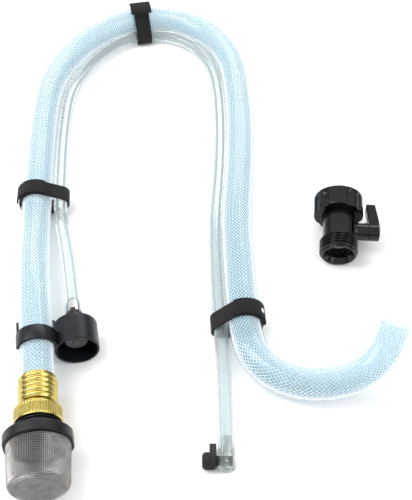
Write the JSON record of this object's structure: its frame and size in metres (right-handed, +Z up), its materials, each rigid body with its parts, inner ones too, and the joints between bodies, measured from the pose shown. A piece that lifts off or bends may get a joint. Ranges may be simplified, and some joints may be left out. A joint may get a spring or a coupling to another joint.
{
  "type": "gravel vacuum siphon",
  "caption": "Braided clear siphon hose bent in a U, with a strapped air tube and tap, a mesh strainer on a brass swivel coupling, a clipped priming cap and a loose lever ball valve.",
  "frame": {"origin": "on the table, under the centre of the box round the siphon's fittings, strainer, cap, straps and valve", "axes": "+Y runs from the open ends towards the hose's bend, +Z up from the table, +X towards the loose valve"},
  "size_m": [0.2683, 0.4662, 0.0461],
  "materials": {
    "braided_pvc": "clear flexible PVC with a white diamond braid inside its wall",
    "clear_pvc": "clear flexible PVC, smooth",
    "brass": "polished yellow brass",
    "black_plastic": "moulded, satin",
    "slate_plastic": "moulded, satin slate black",
    "black_gloss": "moulded, glossy",
    "white_plastic": "smooth",
    "clear_acrylic": "clear moulded plastic",
    "steel_mesh": "fine woven stainless wire",
    "stainless": "smooth stainless band",
    "black_rubber": "smooth",
    "grey_rubber": "smooth",
    "strap_fabric": "woven hook-and-loop tape"
  },
  "bodies": {
    "siphon": {"main_hose": "braided_pvc", "air_tube": "clear_pvc", "brass_ferrule": "brass", "brass_hose_stem": "brass", "priming_cap": "slate_plastic", "cap_barb_fitting": "slate_plastic", "cap_valve_disc": "grey_rubber", "tube_ear_clamp": "stainless", "strap_left": "strap_fabric", "strap_top": "strap_fabric", "strap_right": "strap_fabric", "air_tap_body": "clear_acrylic"},
    "coupling_nut": {"swivel_nut": "brass", "hose_washer": "black_rubber"},
    "strainer": {"strainer_base": "black_plastic", "strainer_mesh": "steel_mesh", "strainer_mesh_ring": "black_plastic"},
    "air_tap": {"air_tap_plug": "black_plastic", "air_tap_knob": "black_plastic"},
    "valve": {"valve_body": "black_gloss", "valve_tailpiece": "black_gloss", "valve_seat_inlet": "white_plastic", "valve_seat_outlet": "white_plastic"},
    "valve_swivel": {"valve_nut": "black_gloss", "valve_nut_washer": "black_rubber"},
    "valve_lever": {"valve_ball": "white_plastic", "valve_stem": "black_plastic", "valve_stem_oring": "black_rubber", "valve_handle": "black_gloss"}
  },
  "joints": [
    {"name": "nut_spin", "type": "hinge", "parent": "siphon", "child": "coupling_nut", "pos_m": [-0.09306, -0.18324, 0.0213], "axis": [-0.122, 0.9925, 0], "range_deg": [0, 915]},
    {"name": "strainer_unscrew", "type": "slide", "parent": "siphon", "child": "strainer", "axis": [0.122, -0.9925, 0], "range_m": [0, 0.00562]},
    {"name": "air_tap_turn", "type": "hinge", "parent": "siphon", "child": "air_tap", "pos_m": [0.02007, -0.2044, 0.00531], "axis": [0.9999, 0.0106, 0], "range_deg": [0, 90]},
    {"name": "valve_lift", "type": "slide", "parent": "siphon", "child": "valve", "axis": [0, 0, 1], "range_m": [0, 0.03]},
    {"name": "valve_nut_spin", "type": "hinge", "parent": "valve", "child": "valve_swivel", "pos_m": [0.10291, -0.01083, 0.01834], "axis": [-0.0709, -0.9896, -0.1251], "continuous": true},
    {"name": "valve_lever_turn", "type": "hinge", "parent": "valve", "child": "valve_lever", "pos_m": [0.10149, -0.03062, 0.01583], "axis": [0.9974, -0.0715, 0], "range_deg": [0, 90]}
  ],
  "couplings": [
    {"joint": "strainer_unscrew", "follows": "nut_spin", "m_per_rad": 0.00035157}
  ]
}
